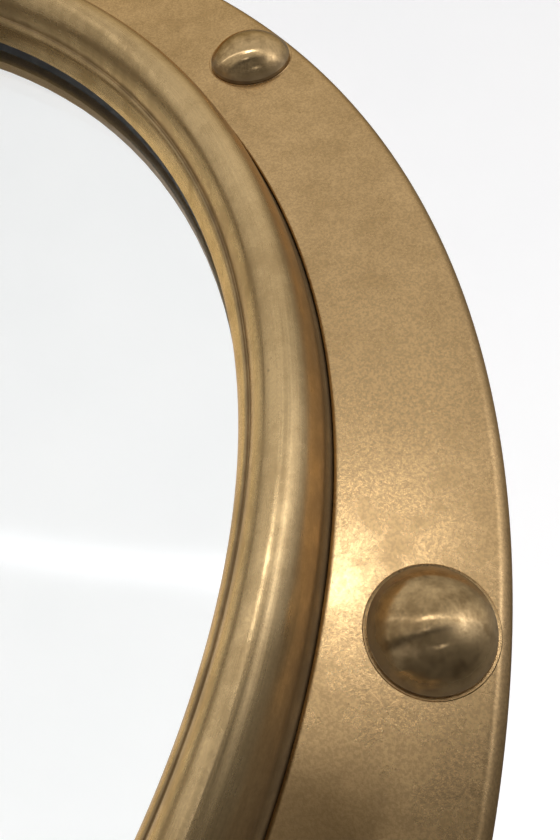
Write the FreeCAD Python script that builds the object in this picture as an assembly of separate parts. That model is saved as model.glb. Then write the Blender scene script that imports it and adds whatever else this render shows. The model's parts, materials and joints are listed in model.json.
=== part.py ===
"""Opening porthole, 400 mm across the flange: a brass frame that bolts to a hull side, and a glazed sash
that hinges at the top and is held shut by two swing bolts with wing nuts.

All sizes are in millimetres. The pieces are drawn lying down, with the porthole's axis along Z, the hull
face at z = 0 and the front towards +z, and are turned upright as they are saved: the saved parts have the
axis along Y, the front towards -Y, up along +Z, and the origin at the centre of the hull face.
"""
import FreeCAD, Part
import math
import os

# ---- frame -------------------------------------------------------------------------------------------
FLANGE_R = 200.0            # outer radius of the flange
FLANGE_T = 8.0              # flange thickness, hull face to front face
FLANGE_EDGE = 3.0           # radius that rounds the front outer edge
BACK_BREAK = 0.8            # small chamfer on the back outer edge
RECESS_BREAK = 0.7          # chamfer at the mouth of the recess
RECESS_R = 172.2            # bore the sash closes into
SPIGOT_R = 176.0            # part of the frame that enters the hull cut-out
SPIGOT_L = 16.0             # how far it reaches behind the hull face
SPIGOT_LEAD = 1.0           # lead-in chamfer at its inner end
REBATE_R = 176.6            # the spigot ring's head is let into the back of the flange
REBATE_L = 3.0
LEDGE_R = 164.0             # clear opening of the frame
LEDGE_TOP = -9.0            # face of the ledge the sash seal sits in
LEDGE_BOTTOM = -13.0
LEDGE_SLOPE = 6.0           # the ledge slopes back so that water drains off it
SASH_SEAL_R = (165.2, 169.2)
SASH_SEAL_DEPTH = 2.0
SASH_SEAL_STANDS = 0.6      # how far the seal stands above the ledge
HULL_SEAL_R = (178.0, 181.5)
HULL_SEAL_DEPTH = 2.0

# ---- hull bolts --------------------------------------------------------------------------------------
BOLT_COUNT = 8
BOLT_CIRCLE_R = 188.0
BOLT_FIRST_DEG = 22.5
BOLT_SHANK_R = 5.0
BOLT_NECK_R = 5.3           # plain neck that fills the hole in the flange
BOLT_LENGTH = 40.0          # shank length below the head
DOME_R = 9.6                # radius of the domed head
DOME_H = 5.0
DOME_SKIRT = 0.5            # short straight edge under the dome
SEAT_R = 10.6               # thin seat ring under each head
SEAT_T = 0.4

# ---- sash --------------------------------------------------------------------------------------------
SASH_R = 171.4              # just inside the recess
SASH_REAR_R = 169.9         # the skirt tapers so that it swings out freely
SASH_REAR = -8.0
BEAD_R = 163.7              # centre of the half-round bead
BEAD_HALF_W = 6.5
BEAD_H = 12.0
BEAD_FOOT = 7.8
CREASE_DEPTH = 0.6
LIP_R = 154.4               # inner edge of the lip over the glass
LIP_EDGE = 5.2
GLAZING_R = 162.5           # bore that holds the glass

# ---- glazing -----------------------------------------------------------------------------------------
GLASS_R = 162.0
GLASS_FRONT = 2.3
GLASS_BACK = -3.7
RETAINER_R = 154.0
RETAINER_TOP = -4.7
LOCK_SCREW_COUNT = 4
LOCK_SCREW_L = 3.2
LOCK_SCREW_R = 2.0
LOCK_HEAD_R = 3.6

# ---- hinge -------------------------------------------------------------------------------------------
HINGE_Y = 186.0
HINGE_Z = 16.5
HINGE_PIN_R = 4.0
KNUCKLE_R = 7.0
KNUCKLE_HALF = 21.5
HINGE_LUG_IN = 22.0
HINGE_LUG_T = 8.0
HINGE_LUG_R = 7.5
RUNNING_FIT = 0.05          # radial clearance of every turning pin

# ---- swing bolts -------------------------------------------------------------------------------------
DOG_DEG = {"dog_1": 225.0, "dog_2": 315.0}
DOG_R = 188.0               # pivot distance from the porthole's axis
DOG_Z = 16.0
DOG_REST_DEG = 75.0         # how far a released bolt hangs out from upright
EYE_R = 7.0
EYE_HALF = 5.2
DOG_LUG_IN = 5.6
DOG_LUG_T = 5.5
DOG_LUG_R = 7.0
PIVOT_PIN_R = 3.0
DOG_SHANK_R = 5.0
DOG_SHANK_END = 40.0
NUT_BACK_OFF = 22.0         # pivot to the washer when the nut is backed off
WASHER_R = 10.0
WASHER_T = 2.0
NUT_H = 12.0
NUT_FOOT_R = 9.4
NUT_TOP_R = 6.9
NUT_CLEARANCE = 0.3         # nut's foot to the washer
WING_LOBE = (13.6, 11.2)    # centre of a wing's rounded end: out from the axis, up from the foot
WING_LOBE_R = 5.4
WING_HALF_T = 1.9
STOP_R = 6.8
STOP_T = 2.0
FORK_Z = (24.5, 31.5)
FORK_END_R = 199.0
FORK_HALF = 14.0
FORK_SLOT_HALF = 5.8
FORK_SLOT_FLOOR = 7.4       # shut bolt's axis to the closed end of the slot
FORK_TIP_R = 4.1            # rounds the outer end of each prong

X_AXIS = FreeCAD.Vector(1, 0, 0)
Z_AXIS = FreeCAD.Vector(0, 0, 1)
ORIGIN = FreeCAD.Vector(0, 0, 0)


# ---- helpers -----------------------------------------------------------------------------------------
def turned(outline):
    """Solid of revolution about Z. The closed outline is a list of (radius, z) corners; an item that is
    itself a list of points is a smooth curve through them."""
    edges = []
    first = last = None
    for item in outline:
        run = item if isinstance(item, list) else [item]
        points = [FreeCAD.Vector(r, 0, z) for r, z in run]
        if last is not None and (points[0] - last).Length > 1e-6:
            edges.append(Part.makeLine(last, points[0]))
        if len(points) > 1:
            curve = Part.BSplineCurve()
            curve.interpolate(points)
            edges.append(curve.toShape())
        first = first or points[0]
        last = points[-1]
    if (last - first).Length > 1e-6:
        edges.append(Part.makeLine(last, first))
    face = Part.Face(Part.Wire(edges))
    return face.revolve(ORIGIN, Z_AXIS, 360)


def ring(r_in, r_out, z_low, z_high):
    """Plain flat ring."""
    return turned([(r_in, z_low), (r_out, z_low), (r_out, z_high), (r_in, z_high)])


def rod(start, direction, radius, length):
    """Round rod from a start point along a direction."""
    return Part.makeCylinder(radius, length, FreeCAD.Vector(*start), FreeCAD.Vector(*direction))


def block(x, y, z):
    """Box from (low, high) pairs."""
    return Part.makeBox(x[1] - x[0], y[1] - y[0], z[1] - z[0], FreeCAD.Vector(x[0], y[0], z[0]))


def arc_points(centre, radii, start_deg, end_deg, steps):
    """Points on an elliptic arc in the (radius, z) plane."""
    points = []
    for i in range(steps + 1):
        a = math.radians(start_deg + (end_deg - start_deg) * i / steps)
        points.append((centre[0] + radii[0] * math.cos(a), centre[1] + radii[1] * math.sin(a)))
    return points


def slab(outline, x_low, x_high):
    """Plate with an outline in the (y, z) plane, from x_low to x_high."""
    corners = [FreeCAD.Vector(x_low, y, z) for y, z in outline]
    face = Part.Face(Part.makePolygon(corners + corners[:1]))
    return face.extrude(FreeCAD.Vector(x_high - x_low, 0, 0))


def lug(centre_y, centre_z, radius, foot_half, foot_z, x_low, x_high):
    """Upright lug plate: round top about a pin centre, sides running down to a wider foot."""
    top = rod((x_low, centre_y, centre_z), (1, 0, 0), radius, x_high - x_low)
    foot = slab([(centre_y - foot_half, foot_z), (centre_y + foot_half, foot_z),
                 (centre_y + radius * 0.98, centre_z + radius * 0.2),
                 (centre_y - radius * 0.98, centre_z + radius * 0.2)], x_low, x_high)
    return top.fuse(foot).removeSplitter()


def fused(shapes):
    """One solid from overlapping shapes."""
    return shapes[0].fuse(shapes[1:]).removeSplitter()


def turned_about_axis(shape, degrees):
    """Copy of a shape, turned about the porthole's axis."""
    copy = shape.copy()
    copy.rotate(ORIGIN, Z_AXIS, degrees)
    return copy


def repeated(shape, count, first_deg):
    """Copies of a shape drawn on the +X side, spread evenly round the axis."""
    return [turned_about_axis(shape, first_deg + 360.0 * i / count) for i in range(count)]


def placed_dog(shape, name, hanging=False):
    """Put a piece drawn for a dog at the top of the ring into place. A hanging piece is drawn with the
    bolt upright from the pivot, and leans out to its released position first."""
    copy = shape.copy()
    if hanging:
        copy.rotate(FreeCAD.Vector(0, DOG_R, DOG_Z), X_AXIS, -DOG_REST_DEG)
    copy.rotate(ORIGIN, Z_AXIS, DOG_DEG[name] - 90.0)
    return copy


def save(name, shapes):
    """Stand the pieces upright and write them to one STEP file."""
    upright = []
    for shape in shapes:
        copy = shape.copy()
        copy.rotate(ORIGIN, X_AXIS, 90)
        upright.append(copy)
    whole = upright[0] if len(upright) == 1 else Part.makeCompound(upright)
    whole.exportStep("parts/" + name + ".step")


# ---- frame -------------------------------------------------------------------------------------------
def flange_ring():
    """Turned flange, with the holes for the hull bolts and a groove at the back for the hull seal."""
    edge = arc_points((FLANGE_R - FLANGE_EDGE, FLANGE_T - FLANGE_EDGE), (FLANGE_EDGE, FLANGE_EDGE), 90, 0, 6)
    body = turned([(REBATE_R, 0.0), (REBATE_R, REBATE_L), (RECESS_R, REBATE_L),
                   (RECESS_R, FLANGE_T - RECESS_BREAK), (RECESS_R + RECESS_BREAK, FLANGE_T), edge,
                   (FLANGE_R, BACK_BREAK), (FLANGE_R - BACK_BREAK, 0.0)])
    body = body.cut(ring(HULL_SEAL_R[0], HULL_SEAL_R[1], -1.0, HULL_SEAL_DEPTH))
    hole = rod((BOLT_CIRCLE_R, 0, -1), (0, 0, 1), BOLT_NECK_R, FLANGE_T + 2.0)
    return body.cut(Part.makeCompound(repeated(hole, BOLT_COUNT, BOLT_FIRST_DEG)))


def spigot_ring():
    """Turned spigot behind the flange, with the ledge that the sash closes on and its seal groove."""
    body = turned([(RECESS_R, LEDGE_TOP), (RECESS_R, REBATE_L), (REBATE_R, REBATE_L), (REBATE_R, 0.0),
                   (SPIGOT_R, 0.0), (SPIGOT_R, SPIGOT_LEAD - SPIGOT_L), (SPIGOT_R - SPIGOT_LEAD, -SPIGOT_L),
                   (LEDGE_R + LEDGE_SLOPE, -SPIGOT_L), (LEDGE_R, LEDGE_BOTTOM), (LEDGE_R, LEDGE_TOP)])
    return body.cut(ring(SASH_SEAL_R[0], SASH_SEAL_R[1], LEDGE_TOP - SASH_SEAL_DEPTH, LEDGE_TOP + 1.0))


def hinge_lugs():
    """Pair of lugs brazed to the flange at the top, bored for the hinge pin."""
    lugs = []
    for side in (1, -1):
        near, far = side * HINGE_LUG_IN, side * (HINGE_LUG_IN + HINGE_LUG_T)
        plate = lug(HINGE_Y, HINGE_Z, HINGE_LUG_R, 9.5, FLANGE_T, min(near, far), max(near, far))
        lugs.append(plate.cut(rod((-40, HINGE_Y, HINGE_Z), (1, 0, 0), HINGE_PIN_R, 80)))
    return lugs


def dog_lugs():
    """Pair of lugs for one swing bolt, joined by the low web that the released bolt rests over."""
    parts = []
    for side in (1, -1):
        near, far = side * DOG_LUG_IN, side * (DOG_LUG_IN + DOG_LUG_T)
        parts.append(lug(DOG_R, DOG_Z, DOG_LUG_R, 8.5, FLANGE_T, min(near, far), max(near, far)))
    reach = DOG_LUG_IN + 1.0
    parts.append(block((-reach, reach), (DOG_R + 6.2, DOG_R + 8.3), (FLANGE_T, FLANGE_T + 3.6)))
    return fused(parts).cut(rod((-20, DOG_R, DOG_Z), (1, 0, 0), PIVOT_PIN_R, 40))


def dome_bolt():
    """Hull bolt with a low domed head, a plain neck and a threaded shank, on the +X side."""
    base = FLANGE_T + SEAT_T
    dome_rise = DOME_H - DOME_SKIRT
    sphere_r = (DOME_R ** 2 + dome_rise ** 2) / (2 * dome_rise)
    half_deg = math.degrees(math.asin(DOME_R / sphere_r))
    centre_z = base + DOME_H - sphere_r
    cap = arc_points((0, centre_z), (sphere_r, sphere_r), 90, 90 - half_deg, 14)
    tip = base - BOLT_LENGTH
    bolt = turned([cap, (DOME_R, base), (BOLT_NECK_R, base), (BOLT_NECK_R, 0.0), (BOLT_SHANK_R, 0.0),
                   (BOLT_SHANK_R, tip + 1.0), (BOLT_SHANK_R - 1.0, tip), (0, tip)])
    bolt.translate(FreeCAD.Vector(BOLT_CIRCLE_R, 0, 0))
    return bolt


def bolt_seat():
    """Thin seat ring under one domed head."""
    crown = [(SEAT_R, FLANGE_T), (SEAT_R - 0.2, FLANGE_T + 0.65 * SEAT_T), (SEAT_R - 0.6, FLANGE_T + SEAT_T)]
    seat = turned([(BOLT_NECK_R, FLANGE_T), crown, (BOLT_NECK_R, FLANGE_T + SEAT_T)])
    seat.translate(FreeCAD.Vector(BOLT_CIRCLE_R, 0, 0))
    return seat


# ---- sash --------------------------------------------------------------------------------------------
def sash_profile():
    """Outline of the sash ring: tapered skirt, thin foot line, half-round bead, crease and inner lip."""
    bead = arc_points((BEAD_R, BEAD_FOOT), (BEAD_HALF_W, BEAD_H), 0, 165, 14)
    crease_r, crease_z = bead[-1]
    notch = (crease_r - 0.25, crease_z - CREASE_DEPTH)
    lip = [(crease_r - 0.6, crease_z - 0.1), (crease_r - 1.3, crease_z - 1.3), (LIP_R + 0.5, LIP_EDGE + 2.0),
           (LIP_R, LIP_EDGE)]
    return ([(GLAZING_R, SASH_REAR), (SASH_REAR_R - 0.6, SASH_REAR), (SASH_REAR_R, SASH_REAR + 0.6),
             (SASH_R, FLANGE_T - 2.0), (SASH_R, FLANGE_T + 0.3), (SASH_R - 0.3, FLANGE_T + 0.6),
             (SASH_R - 0.7, FLANGE_T + 0.6), (SASH_R - 1.0, FLANGE_T - 0.4)]
            + [bead, notch, lip, (GLAZING_R, LIP_EDGE)])


def bare_sash():
    """Turned sash ring, before anything is brazed to it."""
    return turned(sash_profile())


def hinge_arm():
    """Arm and knuckle that carry the sash at the top, brazed over the bead."""
    knuckle = rod((-KNUCKLE_HALF, HINGE_Y, HINGE_Z), (1, 0, 0), KNUCKLE_R, 2 * KNUCKLE_HALF)
    arm = slab([(BEAD_R - 1.0, 12.0), (BEAD_R + 8.0, HINGE_Z - KNUCKLE_R + 0.1),
                (HINGE_Y, HINGE_Z - KNUCKLE_R + 0.1), (HINGE_Y, HINGE_Z + KNUCKLE_R - 0.1),
                (BEAD_R + 12.0, HINGE_Z + KNUCKLE_R - 1.0), (BEAD_R + 2.0, 21.0), (BEAD_R - 2.0, 20.6)],
               -KNUCKLE_HALF, KNUCKLE_HALF)
    body = fused([knuckle, arm])
    body = body.cut(rod((-40, HINGE_Y, HINGE_Z), (1, 0, 0), HINGE_PIN_R + RUNNING_FIT, 80))
    return body.cut(bare_sash())


def dog_fork():
    """Lug brazed to the sash, with a slot, open outwards, that takes a swing bolt; drawn at the top."""
    low, high = FORK_Z
    foot = slab([(BEAD_R - 4.0, 14.0), (BEAD_R + 4.5, FLANGE_T + 3.0), (BEAD_R + 12.3, FLANGE_T + 3.0),
                 (BEAD_R + 13.3, low), (BEAD_R + 13.3, high), (BEAD_R + 3.0, high),
                 (BEAD_R - 4.0, 20.2)], -FORK_HALF, FORK_HALF)
    tip_y = FORK_END_R - FORK_TIP_R
    plate = block((-FORK_HALF, FORK_HALF), (BEAD_R + 8.0, tip_y), (low, high))
    tips = [rod((side * (FORK_HALF - FORK_TIP_R), tip_y, low), (0, 0, 1), FORK_TIP_R, high - low)
            for side in (1, -1)]
    slot = block((-FORK_SLOT_HALF, FORK_SLOT_HALF), (DOG_R - FORK_SLOT_FLOOR, FORK_END_R + 5.0),
                 (low - 1.0, high + 1.0))
    return fused([foot, plate] + tips).cut(slot).cut(bare_sash())


def lock_screw(clearance=0.0):
    """Small countersunk screw that locks the retaining ring, on the +X side. A clearance makes its hole."""
    head = Part.makeCone(LOCK_HEAD_R + clearance, LOCK_SCREW_R + clearance, LOCK_HEAD_R - LOCK_SCREW_R,
                         FreeCAD.Vector(GLAZING_R, 0, SASH_REAR), Z_AXIS)
    shank = rod((GLAZING_R, 0, SASH_REAR), (0, 0, 1), LOCK_SCREW_R + clearance, LOCK_SCREW_L)
    screw = head.fuse(shank).removeSplitter()
    if clearance == 0.0:
        slot = block((GLAZING_R - 3.0, GLAZING_R + 3.0), (-0.4, 0.4), (SASH_REAR - 1.0, SASH_REAR + 0.7))
        screw = screw.cut(slot)
    return screw


def lock_screw_holes():
    return Part.makeCompound(repeated(lock_screw(0.02), LOCK_SCREW_COUNT, 0.0))


def sash_ring():
    return bare_sash().cut(lock_screw_holes())


def retaining_ring():
    """Ring screwed in behind the glass, with four blind holes for a pin spanner."""
    outer_r = GLAZING_R - 0.02
    body = turned([(RETAINER_R, SASH_REAR + 0.5), (RETAINER_R + 0.5, SASH_REAR), (outer_r, SASH_REAR),
                   (outer_r, RETAINER_TOP), (RETAINER_R, RETAINER_TOP)])
    hole = rod((0.5 * (RETAINER_R + GLAZING_R) - 0.6, 0, SASH_REAR - 1.0), (0, 0, 1), 1.75, 3.0)
    body = body.cut(Part.makeCompound(repeated(hole, 4, 45.0)))
    return body.cut(lock_screw_holes())


# ---- hinge pin ---------------------------------------------------------------------------------------
def hinge_pin():
    """Headed pin, drilled for a split pin at the other end."""
    end = HINGE_LUG_IN + HINGE_LUG_T
    pin = rod((-end - 3.0, HINGE_Y, HINGE_Z), (1, 0, 0), HINGE_PIN_R, 2 * end + 10.0)
    head = rod((-end - 3.2, HINGE_Y, HINGE_Z), (1, 0, 0), 6.5, 3.0)
    pin = pin.fuse(head).removeSplitter()
    return pin.cut(rod((end + 3.6, HINGE_Y, HINGE_Z - 10.0), (0, 0, 1), 1.05, 20.0))


def hinge_washer():
    end = HINGE_LUG_IN + HINGE_LUG_T
    disc = rod((end + 0.2, HINGE_Y, HINGE_Z), (1, 0, 0), 7.0, 1.4)
    return disc.cut(rod((end, HINGE_Y, HINGE_Z), (1, 0, 0), HINGE_PIN_R + 0.1, 3.0))


def split_pin():
    """Split pin through the end of the hinge pin: straight shank with a ring eye in front."""
    x = HINGE_LUG_IN + HINGE_LUG_T + 3.6
    shank = rod((x, HINGE_Y, HINGE_Z - 6.0), (0, 0, 1), 1.0, 12.5)
    eye = Part.makeTorus(2.0, 1.0, FreeCAD.Vector(x, HINGE_Y, HINGE_Z + 8.2), X_AXIS)
    return shank.fuse(eye).removeSplitter()


# ---- swing bolts -------------------------------------------------------------------------------------
def pivot_pin():
    """Headed pin through a pair of dog lugs."""
    end = DOG_LUG_IN + DOG_LUG_T
    pin = rod((-end - 1.0, DOG_R, DOG_Z), (1, 0, 0), PIVOT_PIN_R, 2 * end + 4.0)
    head = rod((-end - 1.9, DOG_R, DOG_Z), (1, 0, 0), 4.6, 1.8)
    return pin.fuse(head).removeSplitter()


def pivot_clip():
    """Spring clip at the end of a pivot pin: a ring with a gap."""
    start = DOG_LUG_IN + DOG_LUG_T + 0.3
    clip = rod((start, DOG_R, DOG_Z), (1, 0, 0), 5.2, 1.0)
    clip = clip.cut(rod((start - 1.0, DOG_R, DOG_Z), (1, 0, 0), PIVOT_PIN_R, 3.0))
    return clip.cut(block((start - 1.0, start + 2.0), (DOG_R - 1.8, DOG_R + 1.8), (DOG_Z, DOG_Z + 8.0)))


def eye_bolt():
    """Swing bolt, drawn upright on its pivot."""
    eye = rod((-EYE_HALF, DOG_R, DOG_Z), (1, 0, 0), EYE_R, 2 * EYE_HALF)
    shank = rod((0, DOG_R, DOG_Z + 4.5), (0, 0, 1), DOG_SHANK_R, DOG_SHANK_END - 4.5)
    bolt = eye.fuse(shank).removeSplitter()
    return bolt.cut(rod((-10, DOG_R, DOG_Z), (1, 0, 0), PIVOT_PIN_R + RUNNING_FIT, 20))


def end_stop():
    """Low disc riveted on the bolt's end so that the nut can't come off."""
    top = DOG_Z + DOG_SHANK_END
    stop = turned([(0, top), (STOP_R, top), (STOP_R, top + STOP_T - 0.8), (STOP_R - 0.8, top + STOP_T),
                   (2.5, top + STOP_T), (1.8, top + STOP_T + 0.8), (0, top + STOP_T + 1.0)])
    stop.translate(FreeCAD.Vector(0, DOG_R, 0))
    return stop


def dog_washer():
    low = DOG_Z + NUT_BACK_OFF
    disc = turned([(DOG_SHANK_R + RUNNING_FIT, low), (WASHER_R, low), (WASHER_R, low + WASHER_T - 0.4),
                   (WASHER_R - 0.4, low + WASHER_T), (DOG_SHANK_R + RUNNING_FIT, low + WASHER_T)])
    disc.translate(FreeCAD.Vector(0, DOG_R, 0))
    return disc


def wing_outline(side):
    """Outline of one wing in the (y, z) plane, measured from the nut's foot."""
    lobe = arc_points(WING_LOBE, (WING_LOBE_R, WING_LOBE_R), -60, 130, 14)
    outline = [(5.2, 1.6)] + lobe + [(5.2, 9.5)]
    return [(side * y, z) for y, z in outline]


def wing_nut():
    """Wing nut: tapered hub and two rounded wings."""
    low = DOG_Z + NUT_BACK_OFF + WASHER_T + NUT_CLEARANCE
    bore = DOG_SHANK_R + RUNNING_FIT
    hub = turned([(bore, 0), (NUT_FOOT_R, 0), (NUT_FOOT_R, 2.4), (NUT_FOOT_R - 0.5, 3.0),
                  (NUT_TOP_R + 0.7, NUT_H - 0.8), (NUT_TOP_R, NUT_H), (bore, NUT_H)])
    wings = [slab(wing_outline(side), -WING_HALF_T, WING_HALF_T) for side in (1, -1)]
    nut = fused([hub] + wings).cut(rod((0, 0, -1), (0, 0, 1), bore, 30))
    nut.translate(FreeCAD.Vector(0, DOG_R, low))
    return nut


def save_dog(name):
    """Write one swing bolt, its lugs on the frame and its fork on the sash."""
    save(name + "_lugs", [placed_dog(dog_lugs(), name)])
    save(name + "_fork", [placed_dog(dog_fork(), name)])
    save(name + "_pivot_pin", [placed_dog(pivot_pin(), name)])
    save(name + "_pivot_clip", [placed_dog(pivot_clip(), name)])
    save(name + "_eye_bolt", [placed_dog(eye_bolt(), name, hanging=True)])
    save(name + "_end_stop", [placed_dog(end_stop(), name, hanging=True)])
    save(name + "_washer", [placed_dog(dog_washer(), name, hanging=True)])
    save(name + "_wing_nut", [placed_dog(wing_nut(), name, hanging=True)])


def main():
    os.makedirs("parts", exist_ok=True)
    save("flange_ring", [flange_ring()])
    save("spigot_ring", [spigot_ring()])
    save("hinge_lugs", hinge_lugs())
    save("hull_seal", [ring(HULL_SEAL_R[0] + 0.1, HULL_SEAL_R[1] - 0.1, 0.0, HULL_SEAL_DEPTH)])
    save("dome_bolts", repeated(dome_bolt(), BOLT_COUNT, BOLT_FIRST_DEG))
    save("bolt_seats", repeated(bolt_seat(), BOLT_COUNT, BOLT_FIRST_DEG))
    save("sash_seal", [ring(SASH_SEAL_R[0] + 0.1, SASH_SEAL_R[1] - 0.1, LEDGE_TOP - SASH_SEAL_DEPTH,
                            LEDGE_TOP + SASH_SEAL_STANDS)])
    save("sash_ring", [sash_ring()])
    save("hinge_arm", [hinge_arm()])
    save("front_gasket", [ring(LIP_R + 0.2, GLAZING_R - 0.2, GLASS_FRONT, LIP_EDGE)])
    save("glass_pane", [ring(0.0, GLASS_R, GLASS_BACK, GLASS_FRONT)])
    save("rear_gasket", [ring(GLASS_R - 3.0, GLAZING_R - 0.2, RETAINER_TOP, GLASS_BACK)])
    save("retaining_ring", [retaining_ring()])
    save("lock_screws", repeated(lock_screw(), LOCK_SCREW_COUNT, 0.0))
    save("hinge_pin", [hinge_pin()])
    save("hinge_washer", [hinge_washer()])
    save("hinge_split_pin", [split_pin()])
    for name in DOG_DEG:
        save_dog(name)


main()
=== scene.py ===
"""Looks for the opening porthole: aged brass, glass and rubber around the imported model, in metres.

Rings are drawn as outlines of (radius, height) in millimetres, where height 0 is the hull face and the
front is positive, and are turned about the porthole's axis, which lies along Y in the row frame.
"""
import json
import math
import bmesh
import bpy
from mathutils import Matrix, Vector

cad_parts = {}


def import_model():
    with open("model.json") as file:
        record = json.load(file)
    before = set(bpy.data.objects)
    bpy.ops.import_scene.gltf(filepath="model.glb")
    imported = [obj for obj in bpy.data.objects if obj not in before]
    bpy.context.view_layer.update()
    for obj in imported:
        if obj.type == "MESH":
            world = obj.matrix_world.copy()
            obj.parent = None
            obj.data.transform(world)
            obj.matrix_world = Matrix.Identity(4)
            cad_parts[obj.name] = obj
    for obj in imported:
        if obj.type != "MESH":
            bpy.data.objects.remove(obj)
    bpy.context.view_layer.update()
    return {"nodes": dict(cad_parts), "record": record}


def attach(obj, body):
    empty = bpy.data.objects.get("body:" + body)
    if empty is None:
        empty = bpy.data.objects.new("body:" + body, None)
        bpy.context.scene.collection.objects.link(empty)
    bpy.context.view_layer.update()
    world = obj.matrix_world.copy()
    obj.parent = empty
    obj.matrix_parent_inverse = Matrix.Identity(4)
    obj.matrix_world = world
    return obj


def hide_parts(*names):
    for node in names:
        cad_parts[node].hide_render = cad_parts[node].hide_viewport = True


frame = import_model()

MM = 0.001
TURN = 2.0 * math.pi
AXIS_R = 0.001                          # innermost radius of a solid turned piece (mm)

# ---- sizes (mm) --------------------------------------------------------------------------------------
FLANGE_R, FLANGE_T, FLANGE_EDGE, FLANGE_REAR_CHAMFER = 200.0, 8.0, 3.0, 0.8
FLANGE_CORNER_W, FLANGE_CORNER_H = 0.9, 0.35
FACE_RADII = (180.0, 188.0)             # extra vertices on the flat face keep its shading even
BORE_R, REBATE_R, REBATE_L = 171.5, 176.6, 3.0
GROOVE_OUTER_R, GROOVE_INNER_R, GROOVE_DEPTH = 181.5, 178.0, 2.0
BOLT_CIRCLE_R, BOLT_COUNT, BOLT_FIRST_DEG = 188.0, 8, 22.5
DOME_R, DOME_H, DOME_SKIRT, DOME_STEP = 9.6, 5.0, 0.5, 0.12
SEAT_R, SEAT_T, FOOT_Z = 10.25, 0.4, FLANGE_T + 0.03
NECK_R, SHANK_R, SHANK_END, SHANK_THREAD_END = 5.3, 4.6, -31.4, -29.8
SHANK_CREST_R, SHANK_ROOT_R = 4.95, 4.35
THREAD_PITCH = 1.5
SASH_R, SASH_REAR_R, SASH_REAR, SASH_REAR_CHAMFER = 171.4, 169.9, -8.0, 0.6
BEAD_R, BEAD_HALF_W, BEAD_H, BEAD_FOOT = 163.7, 6.5, 12.0, 7.8
BEAD_FROM_DEG, BEAD_TO_DEG = 8, 163     # where the bead's round starts at the foot and ends at the crease
LIP_R, LIP_EDGE, GLAZING_R = 154.4, 5.2, 162.5
DOG_DEG = {"dog_1": 225.0, "dog_2": 315.0}
DOG_R, DOG_Z, DOG_REST_DEG = 188.0, 16.0, 75.0
DOG_SHANK_R, DOG_SHANK_START, DOG_NECK_END, DOG_SHANK_END = 5.0, 4.5, 11.0, 40.0
EYE_R, EYE_HALF, EYE_EDGE, EYE_BORE_R, EYE_BORE_CHAMFER = 7.0, 5.2, 0.6, 3.05, 0.3

# ---- CAD pieces whose hard edges are rounded a little ------------------------------------------------
SOFT_NODES = ["hinge_lugs", "hinge_arm", "dog_1_lugs", "dog_2_lugs", "dog_1_fork", "dog_2_fork",
              "dog_1_wing_nut", "dog_2_wing_nut", "hinge_pin", "hinge_washer"]
SOFT_WIDTH, SOFT_ANGLE_DEG, WELD_DISTANCE = 0.00045, 38.0, 0.00002      # metres, degrees, metres

# ---- camera: solved from the flange's edges and the bolt heads ---------------------------------------
CAMERA_AT = (0.1571, -0.1226, -0.0992)
CAMERA_TURN = (121.660, 11.936, 6.130)
CAMERA_LENS = 32.525

# ---- brass -------------------------------------------------------------------------------------------
EDGE_TINT = (0.80, 0.62, 0.40, 1.0)     # what brass reflects at a glancing angle
PIT_COLOUR = (0.12, 0.07, 0.03)
SCRATCH_COLOUR = (0.88, 0.68, 0.42)
# painted shade: dark colour laid in the rings' creases and at their rims
CREASE_SHADE_COLOUR = (0.17, 0.115, 0.06)
# painted shade: dark colour laid round the lower part of each dome, where it meets its seat
FOOT_SHADE_COLOUR = (0.20, 0.14, 0.075)
STAIN_COLOUR = (0.15, 0.09, 0.035)
SPECK_SCALE, PIT_SCALE, PIT_GATE_SCALE = 2200.0, 520.0, 330.0
BUMP_DEPTH = 0.0002
SHADE_FROM_R, SHADE_TO_R = 150.0, 202.0     # radii (mm) between which the painted crease shade is given
# painted shade by radius: the flange is darkened at its bore and its rim, the sash in its crease and at its
# foot
FLANGE_CREASE_SHADE = [(150.0, 0.0), (171.4, 0.5), (171.55, 0.0), (197.6, 0.0), (199.4, 0.35),
                (200.0, 0.5)]
SASH_CREASE_SHADE = [(150.0, 0.0), (156.2, 0.0), (157.0, 0.75), (157.9, 0.25), (160.0, 0.12), (166.0, 0.0),
              (168.0, 0.35), (169.9, 0.65), (170.6, 0.80), (171.4, 0.9)]

# ---- stage and light ---------------------------------------------------------------------------------
FLOOR_Z, FLOOR_HALF, FLOOR_GLOW = -0.2005, 6.0, 0.10
WALL_Y, WALL_BEND, WALL_TOP, WALL_GLOW = 2.4, 0.25, 7.0, 0.39
SURROUND_R, SURROUND_SIDES = 5.9, 96
FLOOR_TONES = ((0.80, 0.79, 0.78), (0.84, 0.83, 0.82))
WALL_TONES = ((0.86, 0.86, 0.86), (0.89, 0.885, 0.88))
# brightness of the room by height: 0 is straight down, 0.5 the horizon, 1 straight up
ROOM_LEVELS = [(0.0, 0.06), (0.18, 0.09), (0.33, 0.14), (0.43, 0.15), (0.485, 0.06), (0.526, 0.13),
               (0.544, 0.28), (0.56, 0.42), (0.595, 0.56), (0.75, 0.60), (0.84, 0.68), (1.0, 0.68)]
# share of that brightness by direction: 0 is behind the porthole, 1 in front of it
ROOM_FRONT = [(0.0, 0.50), (0.28, 0.32), (0.35, 0.30), (0.62, 0.85), (0.75, 1.0)]
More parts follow.
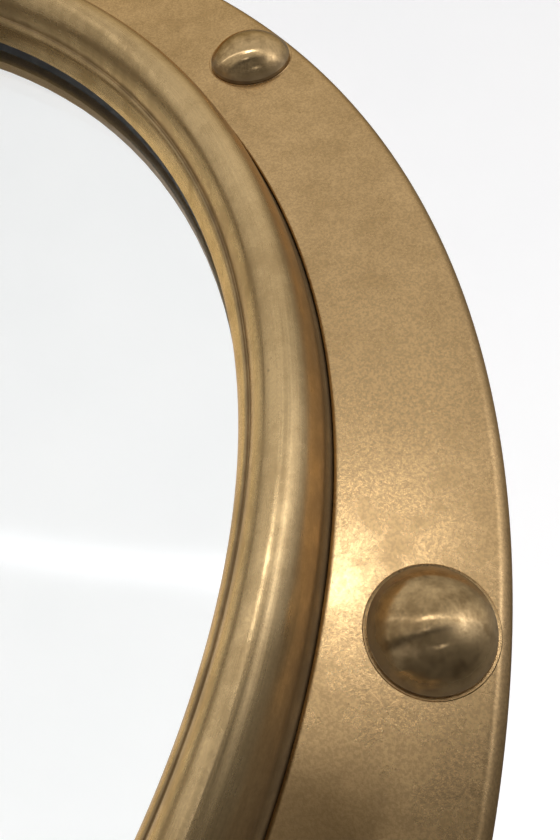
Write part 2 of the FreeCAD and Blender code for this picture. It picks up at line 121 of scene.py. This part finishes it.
# soft glows: azimuth (0 in front, 90 at +X), elevation, width and height in degrees, slope, strength
ROOM_GLOWS = [(0.0, 19.4, 80.0, 1.3, -0.228, 2.0), (2.0, 18.3, 5.0, 1.1, -0.2, 13.0),
              (11.0, 19.0, 13.0, 3.2, -0.1, 0.60), (18.0, 6.5, 8.0, 5.0, 0.0, 0.30),
              (46.0, 3.0, 11.0, 14.0, 0.0, 1.3), (45.0, 3.5, 6.0, 5.0, 0.0, 0.6),
              (70.0, 4.0, 26.0, 16.0, 0.0, 0.60), (112.0, 4.0, 20.0, 20.0, 0.0, 0.20),
              (-9.0, 3.6, 3.0, 1.5, 0.0, 3.5), (8.0, -23.0, 2.5, 2.0, 0.0, 3.5),
              (-50.0, -14.0, 22.0, 10.0, 0.0, 0.18), (-156.0, 36.0, 12.0, 8.0, 0.0, 1.5)]
ROOM_COLOUR = (1.0, 0.99, 0.97, 1.0)
GLOW_COLOUR = (0.98, 1.0, 1.08, 1.0)


# ---- meshes ------------------------------------------------------------------------------------------
def arc(centre, radii, start_deg, end_deg, steps):
    """Points on an elliptic arc in the (radius, height) plane."""
    points = []
    for i in range(steps + 1):
        a = math.radians(start_deg + (end_deg - start_deg) * i / steps)
        points.append((centre[0] + radii[0] * math.cos(a), centre[1] + radii[1] * math.sin(a)))
    return points


def turned(name, outline, segments, sharp_deg=32.0, closed=True):
    """Mesh turned about the porthole's axis from an outline of (radius, height) points."""
    count = len(outline)
    verts = []
    for s in range(segments):
        a = TURN * s / segments
        verts += [(r * MM * math.cos(a), -z * MM, r * MM * math.sin(a)) for r, z in outline]
    spans = count if closed else count - 1
    faces = []
    for s in range(segments):
        n = (s + 1) % segments
        for i in range(spans):
            j = (i + 1) % count
            faces.append((s * count + i, s * count + j, n * count + j, n * count + i))
    return finished_mesh(name, verts, faces, sharp_deg)


def finished_mesh(name, verts, faces, sharp_deg):
    """Object from vertices and faces, with outward normals, smooth faces and sharp edges by angle."""
    mesh = bpy.data.meshes.new(name)
    mesh.from_pydata(verts, [], faces)
    bm = bmesh.new()
    bm.from_mesh(mesh)
    bmesh.ops.remove_doubles(bm, verts=bm.verts, dist=1e-7)
    bmesh.ops.recalc_face_normals(bm, faces=bm.faces)
    for face in bm.faces:
        face.smooth = True
    limit = math.radians(sharp_deg)
    for edge in bm.edges:
        if len(edge.link_faces) == 2:
            edge.smooth = edge.calc_face_angle(0.0) < limit
    bm.to_mesh(mesh)
    bm.free()
    obj = bpy.data.objects.new(name, mesh)
    bpy.context.scene.collection.objects.link(obj)
    return obj


def joined(name, objs):
    """One object from several."""
    bm = bmesh.new()
    for obj in objs:
        piece = obj.data.copy()
        piece.transform(obj.matrix_world)
        bm.from_mesh(piece)
        bpy.data.meshes.remove(piece)
    mesh = bpy.data.meshes.new(name)
    bm.to_mesh(mesh)
    bm.free()
    for obj in objs:
        old = obj.data
        bpy.data.objects.remove(obj)
        bpy.data.meshes.remove(old)
    whole = bpy.data.objects.new(name, mesh)
    bpy.context.scene.collection.objects.link(whole)
    return whole


# ---- node helpers ------------------------------------------------------------------------------------
class Nodes:
    """Small helper for writing node trees in a few lines."""

    def __init__(self, tree):
        self.tree = tree
        tree.nodes.clear()

    def add(self, kind, **props):
        node = self.tree.nodes.new(kind)
        for key, value in props.items():
            setattr(node, key, value)
        return node

    def put(self, value, socket):
        """Link a socket, or set a plain value."""
        if isinstance(value, bpy.types.NodeSocket):
            self.tree.links.new(value, socket)
        else:
            socket.default_value = value

    def math(self, op, a, b=0.0):
        node = self.add("ShaderNodeMath", operation=op)
        self.put(a, node.inputs[0])
        self.put(b, node.inputs[1])
        return node.outputs[0]

    def plus(self, a, b, share):
        """First value plus a share of the second."""
        return self.math("ADD", a, self.math("MULTIPLY", b, share))

    def split(self, vector):
        node = self.add("ShaderNodeSeparateXYZ")
        self.put(vector, node.inputs[0])
        return node.outputs

    def ramp(self, fac, stops, smooth=True):
        node = self.add("ShaderNodeValToRGB")
        node.color_ramp.interpolation = "EASE" if smooth else "LINEAR"
        while len(node.color_ramp.elements) < len(stops):
            node.color_ramp.elements.new(0.5)
        for element, (place, colour) in zip(node.color_ramp.elements, stops):
            element.position = place
            if isinstance(colour, (int, float)):
                colour = (colour, colour, colour)
            element.color = (*colour, 1.0)
        self.put(fac, node.inputs[0])
        return node.outputs[0]

    def mix(self, fac, a, b, kind="MIX"):
        node = self.add("ShaderNodeMix", data_type="RGBA", blend_type=kind)
        self.put(fac, node.inputs[0])
        for value, socket in ((a, node.inputs[6]), (b, node.inputs[7])):
            self.put((*value, 1.0) if isinstance(value, tuple) and len(value) == 3 else value, socket)
        return node.outputs[2]

    def shaded(self, share, colour, shade):
        """Colour partly multiplied by a shade."""
        return self.mix(share, colour, self.mix(1.0, colour, shade, "MULTIPLY"))

    def noise(self, vector, scale, detail=3.0, rough=0.55):
        node = self.add("ShaderNodeTexNoise")
        self.put(vector, node.inputs["Vector"])
        node.inputs["Scale"].default_value = scale
        node.inputs["Detail"].default_value = detail
        node.inputs["Roughness"].default_value = rough
        return node.outputs["Fac"]

    def ring_noise(self, along, depth):
        """Pattern drawn out round a ring, from the pair that ring_point gives."""
        node = self.add("ShaderNodeTexNoise", noise_dimensions="4D")
        self.put(along, node.inputs["Vector"])
        self.put(depth, node.inputs["W"])
        node.inputs["Scale"].default_value = 1.0
        node.inputs["Detail"].default_value = 3.0
        node.inputs["Roughness"].default_value = 0.6
        return node.outputs["Fac"]

    def bump(self, height, strength, normal=None):
        node = self.add("ShaderNodeBump")
        node.inputs["Strength"].default_value = strength
        node.inputs["Distance"].default_value = BUMP_DEPTH
        self.put(height, node.inputs["Height"])
        if normal is not None:
            self.put(normal, node.inputs["Normal"])
        return node.outputs[0]

    def principled(self, colour, roughness):
        """Shader joined to the material's output, with its colour and roughness."""
        shader = self.add("ShaderNodeBsdfPrincipled")
        self.put(colour, shader.inputs["Base Color"])
        self.put(roughness, shader.inputs["Roughness"])
        out = self.add("ShaderNodeOutputMaterial")
        self.put(shader.outputs[0], out.inputs[0])
        return shader


def new_material(name):
    material = bpy.data.materials.new(name)
    material.use_nodes = True
    return material, Nodes(material.node_tree)


def object_point(n):
    """Place on the piece, in metres, which stays put as the piece moves."""
    return n.add("ShaderNodeTexCoord").outputs["Object"]


def ring_place(n, point):
    """The three coordinates of a point and its distance from the porthole's axis, in metres."""
    x, y, z = n.split(point)
    return x, y, z, n.math("SQRT", n.math("ADD", n.math("MULTIPLY", x, x), n.math("MULTIPLY", z, z)))


def ring_point(n, point, along, across):
    """Coordinates that stretch a pattern round the ring: long along the turn, fine across it."""
    x, y, z, radius = ring_place(n, point)
    out = n.add("ShaderNodeCombineXYZ")
    n.put(n.math("MULTIPLY", n.math("DIVIDE", x, radius), along), out.inputs[0])
    n.put(n.math("MULTIPLY", n.math("DIVIDE", z, radius), along), out.inputs[1])
    n.put(n.math("MULTIPLY", radius, across), out.inputs[2])
    return out.outputs[0], n.math("MULTIPLY", y, across)


# ---- brass -------------------------------------------------------------------------------------------
class Surface:
    """Colour, roughness, normal and metal share of a brass while it is built up."""

    def __init__(self, n, point, colour, roughness, normal, metal):
        self.n = n
        self.point = point
        self.colour = colour
        self.roughness = roughness
        self.normal = normal
        self.metal = metal

    def pits(self, amount):
        """Sparse dark pits."""
        n = self.n
        cell = n.add("ShaderNodeTexVoronoi", feature="F1")
        n.put(self.point, cell.inputs["Vector"])
        cell.inputs["Scale"].default_value = PIT_SCALE
        cell.inputs["Randomness"].default_value = 1.0
        gate = n.ramp(n.noise(self.point, PIT_GATE_SCALE, 1.0), [(0.68, 0.0), (0.74, 1.0)])
        pit = n.math("MULTIPLY", n.ramp(cell.outputs["Distance"], [(0.06, 1.0), (0.20, 0.0)]), gate)
        self.colour = n.mix(n.math("MULTIPLY", pit, amount), self.colour, PIT_COLOUR)

    def hair_lines(self, degrees, gate_scale):
        """Sparse hair-line scratches running one way across the ring's face."""
        n = self.n
        turn = n.add("ShaderNodeMapping")
        n.put(self.point, turn.inputs["Vector"])
        turn.inputs["Rotation"].default_value = (0.0, math.radians(degrees), 0.0)
        turn.inputs["Scale"].default_value = (70.0, 1.0, 1900.0)
        line = n.ramp(n.noise(turn.outputs[0], 1.0, 1.0, 0.4), [(0.70, 0.0), (0.76, 1.0)])
        gate = n.ramp(n.noise(self.point, gate_scale, 1.0), [(0.54, 0.0), (0.62, 1.0)])
        return n.math("MULTIPLY", line, gate)

    def scratches(self, amount):
        """Bright scratches running two ways."""
        n = self.n
        marks = n.math("MAXIMUM", self.hair_lines(12.0, 26.0), self.hair_lines(-58.0, 31.0))
        self.colour = n.mix(n.math("MULTIPLY", marks, 0.6 * amount), self.colour, SCRATCH_COLOUR)
        self.normal = n.bump(marks, 0.25 * amount, self.normal)

    def brushing(self, amount):
        """Fine and broad brush marks round the ring."""
        n = self.n
        streak = n.ring_noise(*ring_point(n, self.point, 5.0, 2600.0))
        band = n.ring_noise(*ring_point(n, self.point, 3.0, 350.0))
        self.normal = n.bump(streak, 0.12 * amount, self.normal)
        self.roughness = n.plus(self.roughness, n.math("SUBTRACT", streak, 0.5), 0.2 * amount)
        marks = n.math("ADD", n.math("MULTIPLY", streak, 0.4), n.math("MULTIPLY", band, 0.6))
        shade = n.ramp(marks, [(0.36, 0.55), (0.60, 1.12)])
        self.colour = n.shaded(0.42 * amount, self.colour, shade)

    def dull(self, shade_mask, share):
        """Less metal where the painted shade lies."""
        self.metal = self.n.math("SUBTRACT", self.metal, self.n.math("MULTIPLY", shade_mask, share * self.metal))

    def crease_shade(self, amounts, blotch):
        """Painted shade in the creases and at the rims of a ring, given as (radius in mm, amount) pairs; the
        metal there is also rougher and duller.
        """
        n = self.n
        width = SHADE_TO_R - SHADE_FROM_R
        radius = n.math("SUBTRACT", ring_place(n, self.point)[3], SHADE_FROM_R * MM)
        radius = n.math("MULTIPLY", radius, 1.0 / (width * MM))
        shade_mask = n.ramp(radius, [((r - SHADE_FROM_R) / width, level) for r, level in amounts])
        shade_mask = n.math("MULTIPLY", shade_mask, n.ramp(blotch, [(0.3, 0.75), (0.6, 1.0)]))
        self.colour = n.mix(shade_mask, self.colour, CREASE_SHADE_COLOUR)
        self.roughness = n.plus(self.roughness, shade_mask, 0.22)
        self.dull(shade_mask, 0.55)

    def shaded_foot(self, low, high, blotch):
        """Painted shade that is full at the low height off the wall and gone at the high one, in mm; the
        metal there is also duller.
        """
        n = self.n
        height = n.math("SUBTRACT", n.math("MULTIPLY", n.split(self.point)[1], -1.0 / MM), low)
        shade_mask = n.math("SUBTRACT", 1.0, n.math("DIVIDE", height, high - low))
        shade_mask = n.math("MINIMUM", n.math("MAXIMUM", shade_mask, 0.0), 1.0)
        shade_mask = n.math("MULTIPLY", shade_mask, n.ramp(blotch, [(0.3, 0.6), (0.6, 1.0)]))
        self.colour = n.mix(shade_mask, self.colour, FOOT_SHADE_COLOUR)
        self.dull(shade_mask, 0.75)

    def stain(self, x, z, reach, tone):
        """Tarnished patch on the flange's face, at x and z and with a ragged reach, in mm."""
        n = self.n
        gap = n.add("ShaderNodeVectorMath", operation="DISTANCE")
        n.put(self.point, gap.inputs[0])
        gap.inputs[1].default_value = (x * MM, -FLANGE_T * MM, z * MM)
        away = n.math("DIVIDE", gap.outputs["Value"], reach * MM)
        away = n.plus(away, n.math("SUBTRACT", tone, 0.5), 1.6)
        tarnish = n.ramp(away, [(0.25, 0.80), (1.0, 0.0)])
        self.colour = n.mix(tarnish, self.colour, STAIN_COLOUR)
        self.roughness = n.plus(self.roughness, tarnish, 0.10)


def brass(name, light, dark, rough, patina, patina_scale, grain, pits, metal=1.0, brushed=0.0,
          scratched=0.0, wiped=False, crease_shade=None, foot=None, stain=None):
    """Aged brass with a mottled patina, fine grain and pits. It can be brushed round the ring, scratched,
    wiped up and down, which draws its highlights out sideways, given painted shade in its creases and at its
    foot, or stained."""
    material, n = new_material(name)
    point = object_point(n)
    cloud = n.noise(point, patina_scale, 5.0, 0.6)
    blotch = n.noise(point, patina_scale * 6.0, 6.0, 0.68)
    speck = n.noise(point, SPECK_SCALE, 2.0, 0.6)
    tone = n.math("ADD", n.math("MULTIPLY", cloud, 0.6), n.math("MULTIPLY", blotch, 0.4))
    amount = n.ramp(tone, [(0.40, 0.0), (0.64, 1.0)])
    colour = n.mix(n.math("MULTIPLY", amount, patina), light, dark)
    colour = n.shaded(0.6 * grain, colour, n.ramp(speck, [(0.35, 0.80), (0.65, 1.14)]))
    roughness = n.plus(rough, n.math("SUBTRACT", blotch, 0.5), 0.20)
    roughness = n.plus(roughness, amount, 0.08 * patina)
    surface = Surface(n, point, colour, roughness, n.bump(speck, 0.06 * grain), metal)
    surface.pits(pits)
    if scratched > 0.0:
        surface.scratches(scratched)
    if brushed > 0.0:
        surface.brushing(brushed)
    if crease_shade:
        surface.crease_shade(crease_shade, blotch)
    if foot:
        surface.shaded_foot(*foot, blotch)
    if stain:
        surface.stain(*stain, tone)
    shader = n.principled(surface.colour, n.math("MAXIMUM", surface.roughness, 0.05))
    n.put(surface.normal, shader.inputs["Normal"])
    n.put(surface.metal, shader.inputs["Metallic"])
    shader.inputs["Specular Tint"].default_value = EDGE_TINT
    if wiped:
        sideways = n.add("ShaderNodeCombineXYZ")
        sideways.inputs[0].default_value = 1.0
        n.put(sideways.outputs[0], shader.inputs["Tangent"])
        shader.inputs["Anisotropic"].default_value = 0.95
    return material


def flange_brass():
    """Warm, grainy face, with painted shade at its edges and one tarnished patch."""
    return brass("flange_brass", (0.66, 0.44, 0.21), (0.45, 0.29, 0.13), rough=0.23, patina=0.7,
                 patina_scale=22.0, grain=1.2, pits=0.3, metal=0.98, crease_shade=FLANGE_CREASE_SHADE,
                 stain=(151.0, -96.0, 19.0))


def bead_brass():
    """Paler brass, brushed round the sash, with painted shade in its crease and at its foot."""
    return brass("bead_brass", (0.76, 0.54, 0.27), (0.40, 0.26, 0.115), rough=0.23, patina=0.6,
                 patina_scale=26.0, grain=0.5, pits=0.4, metal=0.95, brushed=0.8, crease_shade=SASH_CREASE_SHADE)


def bolt_brass():
    """Polished domes with dark blotches and painted shade round their feet."""
    return brass("bolt_brass", (0.66, 0.46, 0.23), (0.22, 0.135, 0.055), rough=0.15, patina=0.8,
                 patina_scale=90.0, grain=0.4, pits=0.6, metal=0.92, wiped=True, foot=(8.6, 10.8))


def ring_brass():
    """Duller brass of the spigot ring behind the flange."""
    return brass("ring_brass", (0.58, 0.41, 0.23), (0.36, 0.25, 0.13), rough=0.38, patina=0.6,
                 patina_scale=20.0, grain=0.6, pits=0.4, metal=0.5, brushed=0.6)


def fitting_brass():
    """Brass of the hinge and the dogs, handled and scratched."""
    return brass("fitting_brass", (0.62, 0.44, 0.23), (0.30, 0.20, 0.10), rough=0.28, patina=0.6,
                 patina_scale=40.0, grain=0.7, pits=0.4, scratched=0.3)


# ---- other materials ---------------------------------------------------------------------------------
def rubber():
    """Black rubber with a fine grain."""
    material, n = new_material("black_rubber")
    grain = n.noise(object_point(n), 900.0, 3.0)
    colour = n.ramp(grain, [(0.3, (0.010, 0.010, 0.010)), (0.7, (0.030, 0.029, 0.028))])
    shader = n.principled(colour, n.ramp(grain, [(0.3, 0.55), (0.7, 0.75)]))
    n.put(n.bump(grain, 0.3), shader.inputs["Normal"])
    return material


def glass():
    """Clear pane with the faintest haze of dust."""
    material, n = new_material("clear_glass")
    dust = n.noise(object_point(n), 30.0, 6.0, 0.7)
    colour = n.ramp(dust, [(0.3, (0.97, 0.985, 0.98)), (0.8, (0.94, 0.96, 0.955))])
    shader = n.principled(colour, n.ramp(dust, [(0.3, 0.0), (0.8, 0.02)]))
    shader.inputs["Transmission Weight"].default_value = 1.0
    shader.inputs["IOR"].default_value = 1.5
    return material


def pale_material(name, tones, glow):
    """Plain matt surface of the stage, which glows a little."""
    material, n = new_material(name)
    tone = n.noise(object_point(n), 1.5, 3.0)
    shader = n.principled(n.ramp(tone, [(0.2, tones[0]), (0.8, tones[1])]), 0.9)
    shader.inputs["Emission Color"].default_value = (1.0, 0.995, 1.0, 1.0)
    shader.inputs["Emission Strength"].default_value = glow
    return material


def paint(node_name, material):
    """Give a carried-over CAD node its material."""
    obj = frame["nodes"][node_name]
    obj.data.materials.clear()
    obj.data.materials.append(material)


def dress(obj, material, body, slot, *nodes):
    """Finish a new piece: its material, the body it moves with and the CAD nodes it stands for; the slot is
    not used.
    """
    obj.data.materials.clear()
    obj.data.materials.append(material)
    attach(obj, body)
    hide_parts(*nodes)


# ---- pieces ------------------------------------------------------------------------------------------
def flange_piece():
    """Flange ring: rebate for the spigot ring, bore close round the sash, rounded rim, hull seal groove."""
    rim = (FLANGE_R - FLANGE_EDGE, FLANGE_T - FLANGE_EDGE)
    inner = (BORE_R + FLANGE_CORNER_W, FLANGE_T - FLANGE_CORNER_H)
    outline = [(REBATE_R, 0.0), (REBATE_R, REBATE_L), (BORE_R, REBATE_L)]
    outline += arc(inner, (FLANGE_CORNER_W, FLANGE_CORNER_H), 180, 90, 8)
    outline += [(r, FLANGE_T) for r in FACE_RADII]
    outline += arc(rim, (FLANGE_EDGE, FLANGE_EDGE), 90, 0, 10)
    outline += [(FLANGE_R, FLANGE_REAR_CHAMFER), (FLANGE_R - FLANGE_REAR_CHAMFER, 0.0)]
    outline += [(GROOVE_OUTER_R, 0.0), (GROOVE_OUTER_R, GROOVE_DEPTH)]
    outline += [(GROOVE_INNER_R, GROOVE_DEPTH), (GROOVE_INNER_R, 0.0)]
    return turned("flange", outline, 720)


def sash_piece():
    """Sash ring: rear edge, foot inside the flange's bore, round bead, crease and the lip over the glass."""
    rear = [(GLAZING_R, SASH_REAR), (SASH_REAR_R - SASH_REAR_CHAMFER, SASH_REAR),
            (SASH_REAR_R, SASH_REAR + SASH_REAR_CHAMFER)]
    foot = [(SASH_R, FLANGE_T - 2.0), (SASH_R, FLANGE_T - 1.0), (SASH_R - 0.15, FLANGE_T - 0.65),
            (SASH_R - 0.45, FLANGE_T - 0.25), (SASH_R - 0.8, FLANGE_T + 0.2), (SASH_R - 1.05, FLANGE_T + 0.8)]
    bead = arc((BEAD_R, BEAD_FOOT), (BEAD_HALF_W, BEAD_H), BEAD_FROM_DEG, BEAD_TO_DEG, 40)
    crease_r, crease_z = bead[-1]
    lip = [(crease_r - 0.12, crease_z - 0.35), (crease_r - 0.30, crease_z - 0.42),
           (crease_r - 0.55, crease_z - 0.34), (crease_r - 0.85, crease_z - 0.42),
           (crease_r - 1.2, crease_z - 0.85), (crease_r - 1.6, crease_z - 1.65),
           (LIP_R + 0.95, LIP_EDGE + 3.1), (LIP_R + 0.5, LIP_EDGE + 2.0),
           (LIP_R + 0.2, LIP_EDGE + 0.9), (LIP_R, LIP_EDGE), (GLAZING_R, LIP_EDGE)]
    return turned("sash", rear + foot + bead + lip, 720)


def around(build, name):
    """Copies of a small turned piece at every hull bolt, joined into one."""
    copies = []
    for i in range(BOLT_COUNT):
        a = math.radians(BOLT_FIRST_DEG) + TURN * i / BOLT_COUNT
        obj = build(name + "_copy")
        obj.data.transform(Matrix.Translation((BOLT_CIRCLE_R * MM * math.cos(a), 0.0,
                                               BOLT_CIRCLE_R * MM * math.sin(a))))
        copies.append(obj)
    return joined(name, copies)


def dome_bolt(name):
    """Domed bolt with a plain neck and a threaded shank."""
    base = FLANGE_T + SEAT_T
    rise = DOME_H - DOME_SKIRT
    cap_r = DOME_R - DOME_STEP
    sphere_r = (cap_r ** 2 + rise ** 2) / (2 * rise)
    half = math.degrees(math.asin(cap_r / sphere_r))
    cap = arc((0.0, base + DOME_H - sphere_r), (sphere_r, sphere_r), 90, 90 - half, 24)
    cap[0] = (AXIS_R, cap[0][1])
    foot = arc((DOME_R - 0.1, base + 0.35), (0.1, 0.1), 75, 0, 3)
    outline = cap + foot + [(DOME_R, FOOT_Z), (NECK_R, FOOT_Z), (NECK_R, 0.0), (SHANK_R, 0.0)]
    z = 0.0
    while z > SHANK_THREAD_END:
        outline += [(SHANK_CREST_R, z - 0.4), (SHANK_ROOT_R, z - 1.1)]
        z -= THREAD_PITCH
    outline += [(4.3, SHANK_END + 0.8), (3.9, SHANK_END), (AXIS_R, SHANK_END)]
    return turned(name, outline, 64, closed=False)


def bolt_seat(name):
    """Thin spot-faced ring round a dome, dished in towards it."""
    crown = [(SEAT_R, FLANGE_T), (SEAT_R - 0.06, FLANGE_T + 0.10), (SEAT_R - 0.14, FLANGE_T + 0.16),
             (SEAT_R - 0.24, FLANGE_T + 0.14), (DOME_R, FOOT_Z), (NECK_R, FOOT_Z)]
    return turned(name, [(NECK_R, FLANGE_T)] + crown, 96)


def dog_matrix(turn_deg):
    """Place of a released swing bolt that is drawn upright at its pivot, axis up, pivot pin along X."""
    lean = Matrix.Rotation(math.radians(-DOG_REST_DEG), 4, "X")
    lift = Matrix.Translation((0.0, DOG_R * MM, DOG_Z * MM))
    about_axis = Matrix.Rotation(math.radians(turn_deg - 90.0), 4, "Z")
    upright = Matrix.Rotation(math.radians(90.0), 4, "X")
    return upright @ about_axis @ lift @ lean


def eye_bolt(name, place):
    """Swing bolt: rounded eye bored for its pin, plain neck and a threaded shank."""
    ring = [(EYE_BORE_R, EYE_HALF - EYE_BORE_CHAMFER), (EYE_BORE_R + EYE_BORE_CHAMFER, EYE_HALF)]
    ring += arc((EYE_R - EYE_EDGE, EYE_HALF - EYE_EDGE), (EYE_EDGE, EYE_EDGE), 90, 0, 4)
    ring += [(r, -z) for r, z in reversed(ring)]
    eye = turned(name + "_eye", ring, 72)
    eye.data.transform(Matrix.Rotation(math.radians(90.0), 4, "Z"))
    shank = [(AXIS_R, DOG_SHANK_START), (DOG_SHANK_R, DOG_SHANK_START), (DOG_SHANK_R, DOG_NECK_END)]
    z = DOG_NECK_END
    while z < DOG_SHANK_END - 1.6:
        shank += [(DOG_SHANK_R - 0.62, z + 0.7), (DOG_SHANK_R - 0.05, z + 1.4)]
        z += THREAD_PITCH
    shank += [(DOG_SHANK_R - 0.5, DOG_SHANK_END), (AXIS_R, DOG_SHANK_END)]
    stem = turned(name + "_stem", shank, 56, closed=False)
    stem.data.transform(Matrix.Rotation(math.radians(-90.0), 4, "X"))
    whole = joined(name, [eye, stem])
    whole.data.transform(place)
    return whole


def soften(node_name):
    """Round the hard edges of a CAD piece a little, without changing its mesh."""
    obj = frame["nodes"][node_name]
    weld = obj.modifiers.new("weld", "WELD")
    weld.merge_threshold = WELD_DISTANCE
    bevel = obj.modifiers.new("bevel", "BEVEL")
    bevel.limit_method = "ANGLE"
    bevel.angle_limit = math.radians(SOFT_ANGLE_DEG)
    bevel.width = SOFT_WIDTH
    bevel.segments = 2
    bevel.harden_normals = True


# ---- stage, light and camera -------------------------------------------------------------------------
def sheet_between(name, outline, half, material):
    """Stage surface swept along X between -half and half over an outline of (y, z) points."""
    verts = []
    for y, z in outline:
        verts += [(-half, y, z), (half, y, z)]
    faces = [(2 * i, 2 * i + 1, 2 * i + 3, 2 * i + 2) for i in range(len(outline) - 1)]
    obj = finished_mesh(name, verts, faces, 60.0)
    obj.data.materials.append(material)
    return obj


def studio():
    """Plain pale floor that curves up into a pale wall behind."""
    angles = [math.radians(7.5 * i) for i in range(13)]
    bend = [(WALL_Y - WALL_BEND + WALL_BEND * math.sin(a), FLOOR_Z + WALL_BEND - WALL_BEND * math.cos(a))
            for a in angles]
    floor = sheet_between("floor", [(-FLOOR_HALF, FLOOR_Z), bend[0]], FLOOR_HALF,
                          pale_material("pale_floor", FLOOR_TONES, FLOOR_GLOW))
    wall = sheet_between("backdrop", bend + [(WALL_Y, WALL_TOP)], FLOOR_HALF,
                         pale_material("pale_wall", WALL_TONES, WALL_GLOW))
    for sheet in (floor, wall):
        sheet.visible_glossy = False


def surround():
    """Pale round wall that closes the view on every side; only the camera sees it, so it blocks no light."""
    count = 2 * SURROUND_SIDES
    verts = []
    for i in range(SURROUND_SIDES):
        a = TURN * i / SURROUND_SIDES
        x, y = SURROUND_R * math.cos(a), SURROUND_R * math.sin(a)
        verts += [(x, y, FLOOR_Z), (x, y, WALL_TOP)]
    faces = [(i, i + 1, (i + 3) % count, (i + 2) % count) for i in range(0, count, 2)]
    obj = finished_mesh("surround", verts, faces, 60.0)
    obj.data.materials.append(pale_material("pale_surround", WALL_TONES, WALL_GLOW))
    obj.visible_glossy = False
    obj.visible_diffuse = False
    obj.visible_transmission = False
    obj.visible_shadow = False


def area_light(name, azimuth, elevation, distance, size, power):
    """Soft rectangular light, seen from the object at an azimuth (0 in front, 90 at +X) and an elevation."""
    data = bpy.data.lights.new(name, "AREA")
    data.shape = "RECTANGLE"
    data.size, data.size_y = size
    data.energy = power
    a, e = math.radians(azimuth), math.radians(elevation)
    way = Vector((math.sin(a) * math.cos(e), -math.cos(a) * math.cos(e), math.sin(e)))
    obj = bpy.data.objects.new(name, data)
    obj.location = way * distance
    obj.rotation_euler = (-way).to_track_quat("-Z", "Y").to_euler()
    bpy.context.scene.collection.objects.link(obj)


def soft_glow(n, azimuth, elevation, place, size, slope):
    """Brightness of one soft oval glow in the room; angles in degrees."""
    aside = n.math("SUBTRACT", azimuth, math.radians(place[0]))
    above = n.math("SUBTRACT", elevation, math.radians(place[1]))
    across = n.math("DIVIDE", aside, math.radians(size[0]))
    up = n.math("DIVIDE", n.math("SUBTRACT", above, n.math("MULTIPLY", aside, slope)), math.radians(size[1]))
    spread = n.math("ADD", n.math("MULTIPLY", across, across), n.math("MULTIPLY", up, up))
    return n.math("EXPONENT", n.math("MULTIPLY", spread, -1.0))


def world():
    """Soft room, brighter above than below and in front than behind, with glows for the brass to catch."""
    scene = bpy.context.scene
    scene.world = bpy.data.worlds.new("studio")
    scene.world.use_nodes = True
    n = Nodes(scene.world.node_tree)
    way = n.add("ShaderNodeVectorMath", operation="NORMALIZE")
    n.put(n.add("ShaderNodeTexCoord").outputs["Generated"], way.inputs[0])
    x, y, z = n.split(way.outputs[0])
    ahead = n.math("MULTIPLY", y, -1.0)
    azimuth = n.math("ARCTAN2", x, ahead)
    elevation = n.math("ARCSINE", z)
    level = n.ramp(n.math("MULTIPLY", n.math("ADD", z, 1.0), 0.5), ROOM_LEVELS, smooth=False)
    front = n.ramp(n.math("MULTIPLY", n.math("ADD", ahead, 1.0), 0.5), ROOM_FRONT, smooth=False)
    shine = 0.0
    for glow_azimuth, glow_elevation, width, height, slope, strength in ROOM_GLOWS:
        glow = soft_glow(n, azimuth, elevation, (glow_azimuth, glow_elevation), (width, height), slope)
        shine = n.plus(shine, glow, strength)
    both = n.add("ShaderNodeAddShader")
    for i, colour, strength in ((0, ROOM_COLOUR, n.math("MULTIPLY", level, front)), (1, GLOW_COLOUR, shine)):
        background = n.add("ShaderNodeBackground")
        background.inputs["Color"].default_value = colour
        n.put(strength, background.inputs["Strength"])
        n.put(background.outputs[0], both.inputs[i])
    out = n.add("ShaderNodeOutputWorld")
    n.put(both.outputs[0], out.inputs[0])


def camera():
    """Camera close in front, low and tilted, looking up at the ring."""
    data = bpy.data.cameras.new("camera")
    data.sensor_width = 36.0
    data.lens = CAMERA_LENS
    data.clip_start = 0.01
    data.clip_end = 50.0
    obj = bpy.data.objects.new("camera", data)
    obj.location = CAMERA_AT
    obj.rotation_euler = [math.radians(a) for a in CAMERA_TURN]
    bpy.context.scene.collection.objects.link(obj)
    bpy.context.scene.camera = obj


MATERIALS = {"flange_brass": flange_brass(), "bead_brass": bead_brass(), "bolt_brass": bolt_brass(),
             "ring_brass": ring_brass(), "fitting_brass": fitting_brass(), "rubber": rubber(),
             "glass": glass()}
for part in frame["record"]["subparts"]:
    paint(part["node"], MATERIALS[part["material_slot"]])
paint("spigot_ring", MATERIALS["ring_brass"])
for node_name in SOFT_NODES:
    soften(node_name)
for dog_name, turn_deg in DOG_DEG.items():
    dress(eye_bolt(dog_name + "_swing_bolt", dog_matrix(turn_deg)), MATERIALS["fitting_brass"],
          dog_name + "_bolt", "fitting_brass", dog_name + "_eye_bolt")
dress(flange_piece(), MATERIALS["flange_brass"], "frame", "flange_brass", "flange_ring")
dress(sash_piece(), MATERIALS["bead_brass"], "sash", "bead_brass", "sash_ring")
dress(around(dome_bolt, "hull_bolts"), MATERIALS["bolt_brass"], "frame", "bolt_brass", "dome_bolts")
dress(around(bolt_seat, "hull_bolt_seats"), MATERIALS["flange_brass"], "frame", "bolt_brass", "bolt_seats")
studio()
surround()
world()
area_light("window", azimuth=2.0, elevation=17.8, distance=2.5, size=(0.4, 0.10), power=0.6)
bpy.context.scene.view_settings.view_transform = "Standard"
camera()
